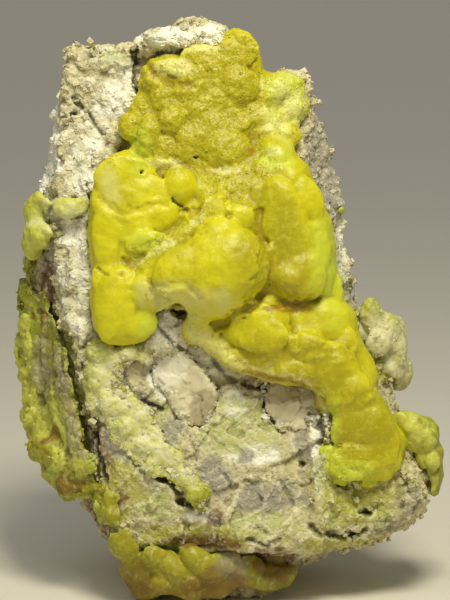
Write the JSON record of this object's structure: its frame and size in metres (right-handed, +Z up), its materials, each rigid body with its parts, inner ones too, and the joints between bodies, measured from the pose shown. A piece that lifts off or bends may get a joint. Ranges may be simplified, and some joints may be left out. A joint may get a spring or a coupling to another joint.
{
  "type": "mineral specimen",
  "caption": "Block of pale granular rock with a thick lobed yellow smithsonite crust in front, green crusts on its flanks, cleaved fluorite in its broken face and a flat broken foot.",
  "frame": {"origin": "on the flat of the broken foot, under the middle of the specimen", "axes": "+Z up, +X to the right and +Y away, for someone who faces the yellow crust"},
  "size_m": [0.0829, 0.0496, 0.1089],
  "materials": {
    "host_rock": "granular, broken, matt with fine sparkle",
    "fluorite": "cleaved, grey, translucent",
    "yellow_smithsonite": "waxy, smooth lobes with sugary patches",
    "green_smithsonite": "waxy, translucent botryoidal skin"
  },
  "bodies": {
    "root": {"host_rock": "host_rock", "fluorite_centre": "fluorite", "fluorite_right": "fluorite", "front_crust": "yellow_smithsonite", "edge_crust": "green_smithsonite", "left_flank_crust": "green_smithsonite", "left_shoulder_crust": "green_smithsonite", "right_flank_crust": "green_smithsonite", "right_shoulder_crust": "green_smithsonite", "corner_crust": "green_smithsonite", "foot_crust": "green_smithsonite"}
  },
  "joints": []
}
